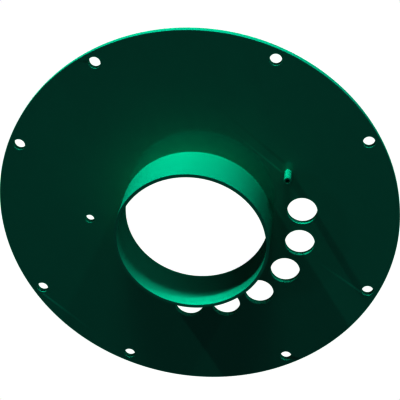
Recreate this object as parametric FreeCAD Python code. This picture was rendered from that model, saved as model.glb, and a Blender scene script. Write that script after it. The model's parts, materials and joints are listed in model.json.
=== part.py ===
import FreeCAD, Part
import math
import os

# Pipe outlet adapter: a thin round flange with a short thin-walled spigot, in one piece.
# Frame: the back of the flange lies on z = 0, centred on the origin, and the spigot points along +Z.
# Lengths are in millimetres and angles in degrees, counted from +X towards +Y.

# Flange
flange_diameter = 200.0
flange_thickness = 3.0
edge_break = 0.15                    # 45 degree chamfer at the rim and at the spigot's free end

# Spigot, the short pipe that the hose goes over or into
spigot_outer_diameter = 75.6
spigot_wall = 1.5
spigot_height = 22.75                # above the flange's face

# Screw holes near the rim, a pair at each end of the X and Y axes
screw_hole_diameter = 6.0
screw_edge_distance = 5.25           # from a hole's centre to the rim
screw_hole_angle = 26.5              # from the axis to the hole on either side of it

# Large holes in an arc round one side of the spigot
arc_hole_diameter = 15.0
arc_hole_gap = 7.6                   # flange left between the spigot and a large hole
arc_hole_angles = (82.0, 103.0, 124.0, 145.0, 165.0, 185.0)

# Single small hole beside the spigot
small_hole_diameter = 4.8
small_hole_gap = 14.2                # flange left between the spigot and the small hole
small_hole_angle = 0.0

# Tapping: a little open tube that stands on the face and opens at the back
tapping_outer_diameter = 3.7
tapping_wall = 0.85
tapping_height = 8.5                 # above the flange's face
tapping_gap = 13.6                   # flange left between the spigot and the tube
tapping_angle = 209.3
tapping_edge_break = 0.25            # chamfer round the tube's end

cut_overrun = 1.0                    # how far a cutting cylinder runs past the face it opens

# Sizes that follow from those above
flange_radius = flange_diameter / 2
spigot_outer_radius = spigot_outer_diameter / 2
spigot_bore_radius = spigot_outer_radius - spigot_wall
spigot_top = flange_thickness + spigot_height
tapping_top = flange_thickness + tapping_height
tapping_bore_diameter = tapping_outer_diameter - 2 * tapping_wall
screw_circle_radius = flange_radius - screw_edge_distance

up = FreeCAD.Vector(0, 0, 1)


def point_at(radius, angle):
    """Point at a radius and an angle about the spigot's axis."""
    turn = math.radians(angle)
    return FreeCAD.Vector(radius * math.cos(turn), radius * math.sin(turn), 0)


def distance_from_axis(gap, diameter):
    """Distance from the axis to a round feature that leaves a gap beside the spigot."""
    return spigot_outer_radius + gap + diameter / 2


def turned(outline):
    """Body turned about the Z axis from a closed outline of (radius, height) points."""
    points = [FreeCAD.Vector(radius, 0, height) for radius, height in outline]
    section = Part.Face(Part.makePolygon(points + points[:1]))
    return section.revolve(FreeCAD.Vector(0, 0, 0), up, 360)


def flange_and_spigot():
    """Flange and spigot, turned as one section with broken edges at the rim and the free end."""
    bore, outer, rim = spigot_bore_radius, spigot_outer_radius, flange_radius
    face, top, c = flange_thickness, spigot_top, edge_break
    return turned([
        (bore, 0), (rim - c, 0), (rim, c), (rim, face - c), (rim - c, face),
        (outer, face), (outer, top - c), (outer - c, top), (bore + c, top), (bore, top - c),
    ])


def tapping_tube():
    """The little tube, rooted in the flange and still without its bore."""
    outer, top, c = tapping_outer_diameter / 2, tapping_top, tapping_edge_break
    tube = turned([(0, 0), (outer, 0), (outer, top - c), (outer - c, top), (0, top)])
    tube.translate(point_at(distance_from_axis(tapping_gap, tapping_outer_diameter), tapping_angle))
    return tube


def screw_hole_centres():
    """Centres of the rim holes: a pair astride each end of the X and Y axes."""
    centres = []
    for axis_angle in (0, 90, 180, 270):
        for side in (1, -1):
            centres.append(point_at(screw_circle_radius, axis_angle + side * screw_hole_angle))
    return centres


def drill(centre, diameter, top):
    """Cutting cylinder from below the back of the flange to above a given height."""
    start = FreeCAD.Vector(centre.x, centre.y, -cut_overrun)
    return Part.makeCylinder(diameter / 2, top + 2 * cut_overrun, start, up)


def drills():
    """All the round cuts that go through the flange."""
    cutters = [drill(centre, screw_hole_diameter, flange_thickness) for centre in screw_hole_centres()]

    arc_radius = distance_from_axis(arc_hole_gap, arc_hole_diameter)
    for angle in arc_hole_angles:
        cutters.append(drill(point_at(arc_radius, angle), arc_hole_diameter, flange_thickness))

    small_radius = distance_from_axis(small_hole_gap, small_hole_diameter)
    small_centre = point_at(small_radius, small_hole_angle)
    cutters.append(drill(small_centre, small_hole_diameter, flange_thickness))

    tapping_radius = distance_from_axis(tapping_gap, tapping_outer_diameter)
    tapping_centre = point_at(tapping_radius, tapping_angle)
    cutters.append(drill(tapping_centre, tapping_bore_diameter, tapping_top))
    return cutters


def adapter():
    """The whole one-piece adapter."""
    body = flange_and_spigot().fuse(tapping_tube())
    body = body.cut(Part.makeCompound(drills())).removeSplitter()
    return body.Solids[0]


shape = adapter()
os.makedirs("parts", exist_ok=True)
shape.exportStep("parts/adapter.step")

box = shape.optimalBoundingBox()
print("adapter: valid", shape.isValid(), "solids", len(shape.Solids), "faces", len(shape.Faces))
print("size %.2f x %.2f x %.2f mm" % (box.XLength, box.YLength, box.ZLength))
print("volume %.1f mm3" % shape.Volume)
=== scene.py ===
import json
import math

import bpy
from mathutils import Matrix, Vector


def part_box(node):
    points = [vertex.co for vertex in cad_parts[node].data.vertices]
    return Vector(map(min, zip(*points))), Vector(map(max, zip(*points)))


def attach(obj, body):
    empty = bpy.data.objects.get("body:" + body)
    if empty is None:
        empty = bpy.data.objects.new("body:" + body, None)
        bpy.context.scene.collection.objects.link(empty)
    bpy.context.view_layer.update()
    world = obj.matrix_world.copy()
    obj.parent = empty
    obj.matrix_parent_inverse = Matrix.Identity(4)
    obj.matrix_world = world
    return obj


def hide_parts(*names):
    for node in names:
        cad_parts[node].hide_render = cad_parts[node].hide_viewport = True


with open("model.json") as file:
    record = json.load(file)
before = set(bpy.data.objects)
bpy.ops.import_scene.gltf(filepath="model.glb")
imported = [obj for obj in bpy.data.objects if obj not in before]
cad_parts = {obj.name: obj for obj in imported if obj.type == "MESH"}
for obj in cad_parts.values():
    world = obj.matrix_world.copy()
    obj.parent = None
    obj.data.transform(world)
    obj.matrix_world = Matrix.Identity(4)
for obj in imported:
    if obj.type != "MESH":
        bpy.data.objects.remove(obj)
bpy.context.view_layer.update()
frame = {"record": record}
mm = 0.001
mounts = {mount["name"]: mount for mount in frame["record"]["mounts"]}
openings = frame["record"]["physics"]["openings"]
boxLow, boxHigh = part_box("adapter")
print("frame loaded:", len(mounts), "mounts,", len(openings), "openings")


# modelling steps that every turned shape uses

def deselectAll():
    if bpy.context.mode != "OBJECT":
        bpy.ops.object.mode_set(mode="OBJECT")
    bpy.ops.object.select_all(action="DESELECT")


def pick(piece):
    deselectAll()
    piece.select_set(True)
    bpy.context.view_layer.objects.active = piece


def applyModifier(piece, kind, **settings):
    pick(piece)
    modifier = piece.modifiers.new(kind.title(), kind)
    for name, value in settings.items():
        setattr(modifier, name, value)
    bpy.ops.object.modifier_apply(modifier=modifier.name)


def applyPlace(piece, place):
    pick(piece)
    piece.location = (place[0], place[1], 0)
    bpy.ops.object.transform_apply(location=True, rotation=True, scale=True)


def turnRings(name, outline, segments):
    # a ring at the outline's first (radius, height), extruded from point to point and left in edit mode
    deselectAll()
    radius, height = outline[0]
    bpy.ops.mesh.primitive_circle_add(vertices=segments, radius=radius, fill_type="NOTHING",
                                      location=(0, 0, height))
    piece = bpy.context.object
    piece.name = piece.data.name = name
    bpy.ops.object.transform_apply(location=True, rotation=True, scale=True)
    bpy.ops.object.mode_set(mode="EDIT")
    bpy.ops.mesh.select_all(action="SELECT")
    for nextRadius, nextHeight in outline[1:]:
        grow = nextRadius / radius
        bpy.ops.mesh.extrude_edges_move()
        bpy.ops.transform.resize(value=(grow, grow, 1), center_override=(0, 0, height))
        bpy.ops.transform.translate(value=(0, 0, nextHeight - height))
        radius, height = nextRadius, nextHeight
    return piece


def pickOpenRings():
    bpy.ops.mesh.select_all(action="DESELECT")
    bpy.ops.mesh.select_mode(type="EDGE")
    bpy.ops.mesh.select_non_manifold()


def faceOutwards():
    bpy.ops.mesh.select_all(action="SELECT")
    bpy.ops.mesh.normals_make_consistent(inside=False)
    bpy.ops.object.mode_set(mode="OBJECT")


def turnHollow(name, outline, segments):
    # a closed section turned about the axis, with its last ring bridged to its first
    piece = turnRings(name, outline, segments)
    pickOpenRings()
    bpy.ops.mesh.bridge_edge_loops()
    faceOutwards()
    return piece


def turnSolid(name, outline, segments):
    # a turned solid, with a flat face over each of its two ends
    piece = turnRings(name, outline, segments)
    pickOpenRings()
    bpy.ops.mesh.edge_face_add()
    faceOutwards()
    return piece


def roundCorner(cornerRadius, cornerHeight, away, up, size, steps):
    # quarter round from a wall to a flat, as (radius, height) points
    # away and up are 1 or -1: whether the corner points away from the axis, and upwards
    points = []
    for step in range(steps + 1):
        turn = math.radians(90 * step / steps)
        points.append((cornerRadius - away * size * (1 - math.cos(turn)),
                       cornerHeight - up * size * (1 - math.sin(turn))))
    return points


adapterSizes = {
    "rimRadius": (boxHigh.x - boxLow.x) / 2,
    "faceHeight": mounts["small_hole"]["dims"]["length_mm"] * mm,
    "spigotRadius": mounts["outlet_spigot"]["dims"]["r_mm"] * mm,
    "boreRadius": mounts["outlet_bore"]["dims"]["r_mm"] * mm,
    "spigotTop": boxHigh.z,
    "edgeRound": 0.05 * mm,          # rim and the spigot's free end
    "roundSteps": 3,
    "segments": 256,
    "smoothAngle": 32,               # degrees, above which an edge stays crisp
}


def makeFlangeAndSpigot(sizes):
    rim, face, top = sizes["rimRadius"], sizes["faceHeight"], sizes["spigotTop"]
    outer, bore = sizes["spigotRadius"], sizes["boreRadius"]
    edge, steps = sizes["edgeRound"], sizes["roundSteps"]
    outline = [(bore, 0.0)]
    outline += roundCorner(rim, 0.0, 1, -1, edge, steps)[::-1]
    outline += roundCorner(rim, face, 1, 1, edge, steps)
    outline += [(outer, face)]
    outline += roundCorner(outer, top, 1, 1, edge, steps)
    outline += roundCorner(bore, top, -1, 1, edge, steps)[::-1]
    return turnHollow("adapterBody", outline, sizes["segments"])


adapterBody = makeFlangeAndSpigot(adapterSizes)
print("flange and spigot:", len(adapterBody.data.polygons), "faces")


tappingSizes = {
    "outerRadius": mounts["tapping_tube"]["dims"]["r_mm"] * mm,
    "boreRadius": mounts["tapping_bore"]["dims"]["r_mm"] * mm,
    "top": mounts["tapping_bore"]["dims"]["length_mm"] * mm,
    "place": Vector(mounts["tapping_bore"]["pos_m"]).xy,
    "rootDepth": 1.0 * mm,           # how far the tube starts below the face
    "edgeRound": 0.22 * mm,
    "roundSteps": 3,
    "segments": 48,
}


def makeTapping(sizes, faceHeight):
    outer, top, edge = sizes["outerRadius"], sizes["top"], sizes["edgeRound"]
    outline = [(outer, faceHeight - sizes["rootDepth"])]
    outline += roundCorner(outer, top, 1, 1, edge, sizes["roundSteps"])
    piece = turnSolid("tappingTube", outline, sizes["segments"])
    applyPlace(piece, sizes["place"])
    return piece


tappingTube = makeTapping(tappingSizes, adapterSizes["faceHeight"])
applyModifier(adapterBody, "BOOLEAN", object=tappingTube, operation="UNION", solver="EXACT")
bpy.data.objects.remove(tappingTube)
print("tapping tube joined")


holeSizes = {
    "screwRadius": mounts["screw_holes_long_x"]["dims"]["hole_r_mm"] * mm,
    "arcRadius": 7.5 * mm,
    "smallRadius": mounts["small_hole"]["dims"]["r_mm"] * mm,
    "edgeRound": 0.03 * mm,          # slight break round each hole, on both faces
    "roundSteps": 2,
    "overrun": 1.0 * mm,             # how far a cutter runs past each face
    "mergeDistance": 0.001 * mm,     # points this near each other are joined after the cuts
    "screwSegments": 64,
    "arcSegments": 96,
    "smallSegments": 64,
    "tappingSegments": 48,
}


def makeCutter(name, radius, top, segments, sizes):
    # a drill whose two ends flare, so that the cut leaves a small round at each face
    edge, steps, over = sizes["edgeRound"], sizes["roundSteps"], sizes["overrun"]
    low = [(2 * radius - r, z) for r, z in roundCorner(radius, 0.0, 1, -1, edge, steps)]
    high = [(2 * radius - r, z) for r, z in roundCorner(radius, top, 1, 1, edge, steps)]
    outline = [(radius + edge, -over)] + low[::-1] + high + [(radius + edge, top + over)]
    return turnSolid(name, outline, segments)


def drillHoles(body, cutter, places):
    # one copy of the cutter for each hole, joined and taken away in a single cut
    copies = []
    for place in places:
        copy = cutter.copy()
        copy.data = cutter.data.copy()
        bpy.context.scene.collection.objects.link(copy)
        applyPlace(copy, place)
        copies.append(copy)
    deselectAll()
    for copy in copies:
        copy.select_set(True)
    bpy.context.view_layer.objects.active = copies[0]
    if len(copies) > 1:
        bpy.ops.object.join()
    applyModifier(body, "BOOLEAN", object=copies[0], operation="DIFFERENCE", solver="EXACT")
    bpy.data.objects.remove(copies[0])
    bpy.data.objects.remove(cutter)


def mergeDoubles(piece, distance):
    # joins the points that the cuts left on top of each other
    pick(piece)
    bpy.ops.object.mode_set(mode="EDIT")
    bpy.ops.mesh.select_all(action="SELECT")
    bpy.ops.mesh.remove_doubles(threshold=distance)
    bpy.ops.object.mode_set(mode="OBJECT")


def screwPlaces():
    places = []
    for name in ("screw_holes_long_x", "screw_holes_long_y"):
        dims = mounts[name]["dims"]
        halfX, halfY = dims["spacing_x_mm"] * mm / 2, dims["spacing_y_mm"] * mm / 2
        places += [(sideX * halfX, sideY * halfY) for sideX in (1, -1) for sideY in (1, -1)]
    return places


def openingPlaces():
    places = []
    for opening in openings:
        low, high = opening["box_m"]
        places.append(((low[0] + high[0]) / 2, (low[1] + high[1]) / 2))
    return places


faceHeight = adapterSizes["faceHeight"]
smallPlace = mounts["small_hole"]["pos_m"][:2]
holes = [
    ("screwCutter", holeSizes["screwRadius"], faceHeight, holeSizes["screwSegments"], screwPlaces()),
    ("arcCutter", holeSizes["arcRadius"], faceHeight, holeSizes["arcSegments"], openingPlaces()),
    ("smallCutter", holeSizes["smallRadius"], faceHeight, holeSizes["smallSegments"], [smallPlace]),
    ("tappingCutter", tappingSizes["boreRadius"], tappingSizes["top"], holeSizes["tappingSegments"],
     [tappingSizes["place"]]),
]
for cutterName, radius, top, segments, places in holes:
    drillHoles(adapterBody, makeCutter(cutterName, radius, top, segments, holeSizes), places)
mergeDoubles(adapterBody, holeSizes["mergeDistance"])
print("holes drilled:", len(adapterBody.data.polygons), "faces")

pick(adapterBody)
bpy.ops.object.shade_smooth_by_angle(angle=math.radians(adapterSizes["smoothAngle"]))
applyModifier(adapterBody, "WEIGHTED_NORMAL", mode="FACE_AREA", keep_sharp=True)


plasticLook = {
    "green": (0.001, 0.588, 0.288, 1),
    "darkGreen": (0.001, 0.560, 0.274, 1),
    "mirrored": 0.0768,       # share of the light that the gloss mirrors, at every angle
    "glossSteps": 10,         # points on the curve that keeps that share even
    "roughness": (0.06, 0.10),
    "cloudScale": 38.0,       # slow drift of the colour, per metre
    "cloudDetail": 4,
    "grainScale": 2600.0,     # fine moulded grain, per metre
    "grainDetail": 3,
    "grainHeight": 0.002 * mm,
    "grainStrength": 0.35,
}

# painted highlight and painted shade streaks on the face, lighter and darker lines in its colour that
# stand in for shading, not wear:
# where each fades in and where it ends (mm), its width (mm), how much lighter or darker it is at most,
# and the share of that at its middle
paintedFaceStreaks = {
    "paintedHighlightByTube": ((-8.0, -60.5), (-43.7, -26.1), 1.1, 0.26, 0.2),
    "shadeByTube": ((-12.2, -63.4), (-45.0, -31.2), 1.7, -0.09, 0.5),
    "paintedHighlightByHole": ((-60.0, 25.2), (-82.8, 44.2), 1.3, 0.36, 0.6),
    "paintedHighlightAtRim": ((58.9, 72.4), (85.3, 46.1), 1.5, 0.45, 0.35),
    "paintedShadeByTopHole": ((50.0, -85.8), (44.5, -85.2), 1.3, -0.22, 0.9),
    "paintedShadeByLowHole": ((-50.0, 87.0), (-45.0, 85.8), 2.4, -0.38, 0.9),
}
paintedStreakShape = {
    "strongestAt": 0.96,      # share of a painted streak's length, after which it ends
    "depth": 0.1 * mm,        # how far below the face a painted streak may still show
}


def mirrorShare(bend, facing):
    # Fresnel's share for a refractive index and the cosine of the viewing angle
    depth = math.sqrt(bend * bend - 1 + facing * facing)
    across = (depth - facing) / (depth + facing)
    along = (facing * (depth + facing) - 1) / (facing * (depth - facing) + 1)
    return across * across * (1 + along * along) / 2


def glossLevel(share, facing):
    # the specular level at which the shader mirrors this share at this angle
    low, high = 1.0, 2.5             # refractive indices
    halvings = 30
    shareAtFullLevel = 0.08          # what the shader mirrors head on at a level of 1
    for halving in range(halvings):
        bend = (low + high) / 2
        if mirrorShare(bend, facing) < share:
            low = bend
        else:
            high = bend
    return ((bend - 1) / (bend + 1)) ** 2 / shareAtFullLevel


def shapeCurve(nodes, points):
    # a curve node through these points, level beyond its two ends
    node = nodes.new("ShaderNodeFloatCurve")
    node.mapping.extend = "HORIZONTAL"
    curve = node.mapping.curves[0]
    curve.points[0].location, curve.points[-1].location = points[0], points[-1]
    for point in points[1:-1]:
        curve.points.new(*point)
    node.mapping.update()
    return node


def drawPaintedStreaks(nodes, links, coords, paintedStreaks, shape, faceHeight):
    # painted highlight and painted shade streaks: how much lighter or darker the face's colour is made
    # at each place, 1 where it is plain
    place = nodes.new("ShaderNodeSeparateXYZ")
    links.new(coords.outputs["Object"], place.inputs["Vector"])
    onFace = nodes.new("ShaderNodeMath")
    onFace.operation = "GREATER_THAN"
    onFace.inputs[1].default_value = faceHeight - shape["depth"]
    links.new(place.outputs["Z"], onFace.inputs[0])
    total = None
    for name, (start, end, width, change, middle) in paintedStreaks.items():
        run = Vector(end) - Vector(start)
        across = Vector((-run.y, run.x)).normalized()
        corner = Vector(start) - across * width / 2
        strip = nodes.new("ShaderNodeMapping")
        strip.name = name
        strip.vector_type = "TEXTURE"
        strip.inputs["Location"].default_value = (corner.x * mm, corner.y * mm, 0)
        strip.inputs["Rotation"].default_value = (0, 0, math.atan2(run.y, run.x))
        strip.inputs["Scale"].default_value = (run.length * mm, width * mm, 1)
        split = nodes.new("ShaderNodeSeparateXYZ")
        along = shapeCurve(nodes, [(0, 0), (0.5, middle), (shape["strongestAt"], 1), (1, 0)])
        beside = shapeCurve(nodes, [(0, 0), (0.5, 1), (1, 0)])
        both = nodes.new("ShaderNodeMath")
        both.operation = "MULTIPLY"
        added = nodes.new("ShaderNodeMath")
        added.operation = "MULTIPLY_ADD"
        added.inputs[1].default_value = change
        added.inputs[2].default_value = 0
        links.new(coords.outputs["Object"], strip.inputs["Vector"])
        links.new(strip.outputs["Vector"], split.inputs["Vector"])
        links.new(split.outputs["X"], along.inputs["Value"])
        links.new(split.outputs["Y"], beside.inputs["Value"])
        links.new(along.outputs["Value"], both.inputs[0])
        links.new(beside.outputs["Value"], both.inputs[1])
        links.new(both.outputs["Value"], added.inputs[0])
        if total:
            links.new(total.outputs["Value"], added.inputs[2])
        total = added
    light = nodes.new("ShaderNodeMath")
    light.operation = "MULTIPLY_ADD"
    light.inputs[2].default_value = 1
    links.new(total.outputs["Value"], light.inputs[0])
    links.new(onFace.outputs["Value"], light.inputs[1])
    return light


def makePlastic(look, paintedStreaks, shape, faceHeight):
    material = bpy.data.materials.new("greenPlastic")
    material.use_nodes = True
    nodes, links = material.node_tree.nodes, material.node_tree.links
    shader = nodes["Principled BSDF"]
    coords = nodes.new("ShaderNodeTexCoord")

    # gloss that stays even all round the walls, where a plain one would rise towards their edges
    turned = nodes.new("ShaderNodeLayerWeight")
    turned.inputs["Blend"].default_value = 0.5     # so that Facing is 1 less the cosine
    steps = [step / look["glossSteps"] for step in range(look["glossSteps"])]
    levels = [(away, glossLevel(look["mirrored"], 1 - away)) for away in steps]
    shine = shapeCurve(nodes, levels + [(1, 0)])     # none where a wall is seen edge-on
    links.new(turned.outputs["Facing"], shine.inputs["Value"])
    links.new(shine.outputs["Value"], shader.inputs["Specular IOR Level"])

    # colour that drifts slightly over a few centimetres, with the painted highlight and painted shade
    # streaks on the face
    cloud = nodes.new("ShaderNodeTexNoise")
    cloud.inputs["Scale"].default_value = look["cloudScale"]
    cloud.inputs["Detail"].default_value = look["cloudDetail"]
    tint = nodes.new("ShaderNodeMix")
    tint.data_type = "RGBA"
    tint.inputs["A"].default_value = look["darkGreen"]
    tint.inputs["B"].default_value = look["green"]
    links.new(coords.outputs["Object"], cloud.inputs["Vector"])
    links.new(cloud.outputs["Fac"], tint.inputs["Factor"])
    paintedStreakTint = nodes.new("ShaderNodeHueSaturation")
    links.new(tint.outputs["Result"], paintedStreakTint.inputs["Color"])
    light = drawPaintedStreaks(nodes, links, coords, paintedStreaks, shape, faceHeight)
    links.new(light.outputs["Value"], paintedStreakTint.inputs["Value"])
    links.new(paintedStreakTint.outputs["Color"], shader.inputs["Base Color"])

    # fine grain that breaks up the mirror image a little
    grain = nodes.new("ShaderNodeTexNoise")
    grain.inputs["Scale"].default_value = look["grainScale"]
    grain.inputs["Detail"].default_value = look["grainDetail"]
    polish = nodes.new("ShaderNodeMapRange")
    polish.inputs["To Min"].default_value, polish.inputs["To Max"].default_value = look["roughness"]
    bump = nodes.new("ShaderNodeBump")
    bump.inputs["Strength"].default_value = look["grainStrength"]
    bump.inputs["Distance"].default_value = look["grainHeight"]
    links.new(coords.outputs["Object"], grain.inputs["Vector"])
    links.new(grain.outputs["Fac"], polish.inputs["Value"])
    links.new(polish.outputs["Result"], shader.inputs["Roughness"])
    links.new(grain.outputs["Fac"], bump.inputs["Height"])
    links.new(bump.outputs["Normal"], shader.inputs["Normal"])
    return material


adapterBody.data.materials.clear()
adapterBody.data.materials.append(makePlastic(plasticLook, paintedFaceStreaks, paintedStreakShape, faceHeight))
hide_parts("adapter")
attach(adapterBody, "root")
print("plastic made")


studio = {
    "floorSize": 60.0,
    "floorDrop": 0.2 * mm,    # keeps the floor off the flange's back
    "floorGlow": 1.015,       # just over white, for the floor and the air behind it
    # each light's azimuth from +X, elevation, strength, softness and blue, with the angles in degrees
    "lights": {
        "keyLight": (-63.0, 6.0, 1.63, 1.2, 1.0),
        "lowLight": (-65.0, 1.5, 0.43, 2.0, 1.0),
        "rightLight": (-45.0, 5.0, 0.08, 2.0, 1.0),
        "sideLight": (-118.0, 7.5, 0.46, 2.0, 1.0),
        "underLight": (-141.0, -66.0, 2.0, 4.0, 1.1),
        "rearLight": (105.0, 5.0, 0.27, 2.0, 1.0),
        "frontLight": (-15.0, 30.0, 0.08, 3.0, 1.5),
    },
    # a long low lamp that is brightest at its middle, as a row of suns from its first end to its last
    "strip": {
        "first": (-83.0, 6.1),
        "last": (-101.5, 9.1),
        "strengths": (0.18, 0.40, 0.57, 0.33, 0.16),
        "softness": 3.6,
        "blue": 1.0,
    },
    # glow of the air in bands: the sine of the elevation where each starts, and its strength
    "sky": ((-1.0, 0.10), (-0.2, 0.0), (0.0, 0.60), (0.15, 0.08), (0.7, 0.141)),
    "skyBlue": 1.36,
}


def makeGlow(name, strength):
    material = bpy.data.materials.new(name)
    material.use_nodes = True
    nodes, links = material.node_tree.nodes, material.node_tree.links
    nodes.clear()
    glow = nodes.new("ShaderNodeEmission")
    glow.inputs["Color"].default_value = (1, 1, 1, 1)
    glow.inputs["Strength"].default_value = strength
    output = nodes.new("ShaderNodeOutputMaterial")
    links.new(glow.outputs["Emission"], output.inputs["Surface"])
    return material


def makeFloor(look):
    deselectAll()
    bpy.ops.mesh.primitive_plane_add(size=look["floorSize"], location=(0, 0, -look["floorDrop"]))
    floor = bpy.context.object
    floor.name = "paleFloor"
    floor.data.materials.append(makeGlow("paleFloor", look["floorGlow"]))
    floor.visible_diffuse = floor.visible_glossy = floor.visible_shadow = False


def addSun(name, azimuth, elevation, strength, softness, blue):
    turn, rise = math.radians(azimuth), math.radians(elevation)
    source = Vector((math.cos(turn) * math.cos(rise), math.sin(turn) * math.cos(rise), math.sin(rise)))
    bpy.ops.object.light_add(type="SUN", location=source)
    light = bpy.context.object
    light.name = name
    light.rotation_euler = source.to_track_quat("Z", "Y").to_euler()
    light.data.energy = strength
    light.data.color = (1, 1, blue)
    light.data.angle = math.radians(softness)
    light.visible_glossy = False     # the gloss mirrors the part's own walls, and no lamp


def addStrip(strip):
    strengths = strip["strengths"]
    for number, strength in enumerate(strengths):
        share = number / (len(strengths) - 1)
        azimuth, elevation = (a + (b - a) * share for a, b in zip(strip["first"], strip["last"]))
        addSun("stripLight" + str(number + 1), azimuth, elevation, strength,
               strip["softness"], strip["blue"])


def makeSky(look):
    world = bpy.data.worlds.new("studioAir")
    bpy.context.scene.world = world
    world.use_nodes = True
    nodes, links = world.node_tree.nodes, world.node_tree.links
    nodes.clear()
    coords = nodes.new("ShaderNodeTexCoord")
    split = nodes.new("ShaderNodeSeparateXYZ")
    height = nodes.new("ShaderNodeMapRange")
    height.inputs["From Min"].default_value = -1
    bands = nodes.new("ShaderNodeValToRGB")
    bands.color_ramp.interpolation = "CONSTANT"
    stops = bands.color_ramp.elements
    stops.remove(stops[-1])
    for number, (sine, glow) in enumerate(look["sky"]):
        level = (sine + 1) / 2
        stop = stops[0] if number == 0 else stops.new(level)
        stop.position = level
        stop.color = (glow, glow, glow * look["skyBlue"], 1)
    air = nodes.new("ShaderNodeBackground")
    backdrop = nodes.new("ShaderNodeBackground")
    backdrop.inputs["Color"].default_value = (1, 1, 1, 1)
    backdrop.inputs["Strength"].default_value = look["floorGlow"]
    seen = nodes.new("ShaderNodeLightPath")
    mix = nodes.new("ShaderNodeMixShader")
    output = nodes.new("ShaderNodeOutputWorld")
    links.new(coords.outputs["Generated"], split.inputs["Vector"])
    links.new(split.outputs["Z"], height.inputs["Value"])
    links.new(height.outputs["Result"], bands.inputs["Fac"])
    links.new(bands.outputs["Color"], air.inputs["Color"])
    links.new(seen.outputs["Is Camera Ray"], mix.inputs["Fac"])
    links.new(air.outputs["Background"], mix.inputs[1])
    links.new(backdrop.outputs["Background"], mix.inputs[2])
    links.new(mix.outputs["Shader"], output.inputs["Surface"])


toneCurve = {
    "steps": 16,
    # the screen's own curve, a straight start and then a power, which this one undoes
    "straightBelow": 0.04045,
    "straightSlope": 12.92,
    "lift": 0.055,
    "power": 2.4,
}


def steepenTones(tones):
    # shows light as it is measured: shadows fall to deep green, the lit wall and the floor stay bright
    settings = bpy.context.scene.view_settings
    settings.view_transform = "Standard"
    settings.use_curve_mapping = True
    mapping = settings.curve_mapping
    mapping.tone = "FILMLIKE"
    allColours = mapping.curves[3]
    allColours.points[0].location = (0, 0)
    allColours.points[-1].location = (1, 1)
    for step in range(1, tones["steps"]):
        bright = step / tones["steps"]
        if bright < tones["straightBelow"]:
            deep = bright / tones["straightSlope"]
        else:
            deep = ((bright + tones["lift"]) / (1 + tones["lift"])) ** tones["power"]
        allColours.points.new(bright, deep)
    mapping.update()


# found from the rims and holes in the photograph; right and up are the picture's own two directions
cameraLook = {
    "place": (-0.074541, -0.282423, 0.473416),
    "right": (-0.991324521, 0.065724099, -0.113824584),
    "up": (-0.0000222870, -0.866084918, -0.499896904),
    "lens": 99.879,
    "sensor": 36.0,
    "clip": (0.01, 200.0),    # metres from the lens between which things show
}


def makeCamera(look):
    bpy.ops.object.camera_add()
    camera = bpy.context.object
    camera.name = "photoCamera"
    right, up = Vector(look["right"]), Vector(look["up"])
    back = right.cross(up)
    turned = Matrix((right, up, back)).transposed().to_4x4()
    camera.matrix_world = Matrix.Translation(look["place"]) @ turned
    camera.data.lens = look["lens"]
    camera.data.sensor_width = look["sensor"]
    camera.data.clip_start, camera.data.clip_end = look["clip"]
    bpy.context.scene.camera = camera


makeFloor(studio)
for lightName, numbers in studio["lights"].items():
    addSun(lightName, *numbers)
addStrip(studio["strip"])
makeSky(studio)
steepenTones(toneCurve)
makeCamera(cameraLook)
print("studio and camera ready")
